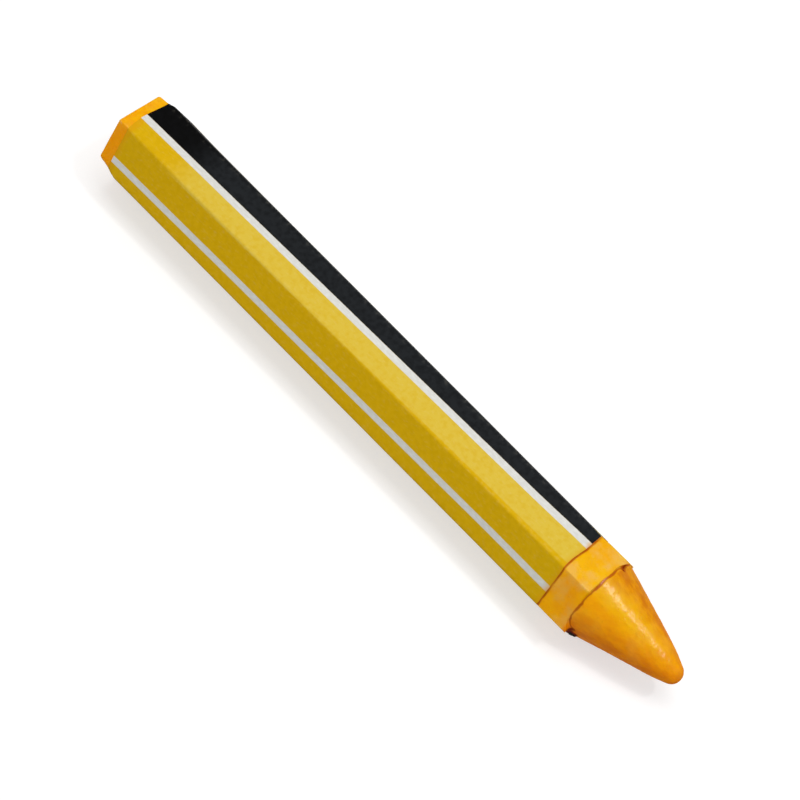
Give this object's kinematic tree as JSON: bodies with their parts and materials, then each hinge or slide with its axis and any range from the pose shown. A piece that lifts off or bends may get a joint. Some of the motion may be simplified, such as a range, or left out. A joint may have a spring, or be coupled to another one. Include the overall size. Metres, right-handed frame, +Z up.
{
  "type": "tire marking crayon",
  "caption": "Hexagonal moulded wax marking crayon with a rounded conical tip, in a glued printed paper wrapper that leaves both ends bare.",
  "frame": {"origin": "on the bench, under the middle of the overall length; the wrapper's bottom flat lies on Z = 0", "axes": "+X along the crayon from the butt to the tip, +Y across it, +Z up out of the top flat"},
  "size_m": [0.1144, 0.0158, 0.0139],
  "materials": {
    "wax": "moulded pigmented wax, yellow-orange, semi-matt",
    "printed_paper": "uncoated label paper printed yellow, black and white"
  },
  "bodies": {
    "root": {"wax_stick": "wax", "paper_wrapper": "printed_paper"}
  },
  "joints": []
}
